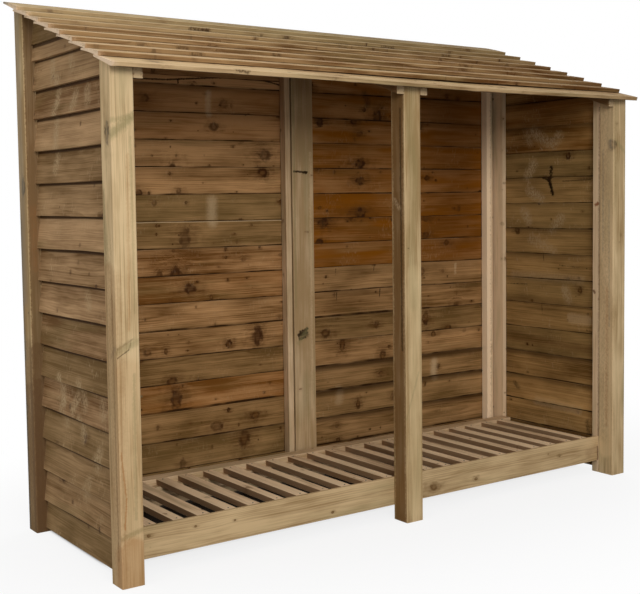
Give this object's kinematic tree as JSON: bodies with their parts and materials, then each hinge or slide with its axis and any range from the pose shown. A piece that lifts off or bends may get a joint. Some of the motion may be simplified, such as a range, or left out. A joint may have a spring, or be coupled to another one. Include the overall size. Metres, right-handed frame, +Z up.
{
  "type": "log store",
  "caption": "Open-fronted two-bay timber log store with lapped board walls, a lapped board roof sloping to the front, square posts and a slatted floor.",
  "frame": {"origin": "bottom centre of the bounding box, on the ground under the posts' feet", "axes": "+X along the open front, +Y from the front to the back wall, +Z up"},
  "size_m": [2.238, 0.848, 1.7989],
  "materials": {
    "post_timber": "planed pressure-treated softwood",
    "wall_boards": "rough-sawn pressure-treated softwood",
    "batten_timber": "sawn pressure-treated softwood",
    "roof_boards": "rough-sawn pressure-treated softwood",
    "floor_timber": "planed pressure-treated softwood",
    "slat_timber": "sawn pressure-treated softwood"
  },
  "bodies": {
    "root": {"front_left_post": "post_timber", "front_middle_post": "post_timber", "front_right_post": "post_timber", "back_left_post": "post_timber", "back_right_post": "post_timber", "left_wall_boards": "wall_boards", "right_wall_boards": "wall_boards", "back_wall_left_boards": "wall_boards", "back_wall_right_boards": "wall_boards", "left_wall_front_batten": "batten_timber", "left_wall_back_batten": "batten_timber", "right_wall_front_batten": "batten_timber", "right_wall_back_batten": "batten_timber", "back_left_batten": "batten_timber", "back_right_batten": "batten_timber", "back_middle_batten": "batten_timber", "back_middle_board": "batten_timber", "back_top_rail": "batten_timber", "roof_boards": "roof_boards", "left_rafter": "batten_timber", "middle_left_rafter": "batten_timber", "middle_right_rafter": "batten_timber", "right_rafter": "batten_timber", "front_floor_beam": "floor_timber", "front_floor_bearer": "floor_timber", "rear_floor_bearer": "floor_timber", "rear_floor_ledger": "floor_timber", "left_bay_slats": "slat_timber", "right_bay_slats": "slat_timber"}
  },
  "joints": []
}
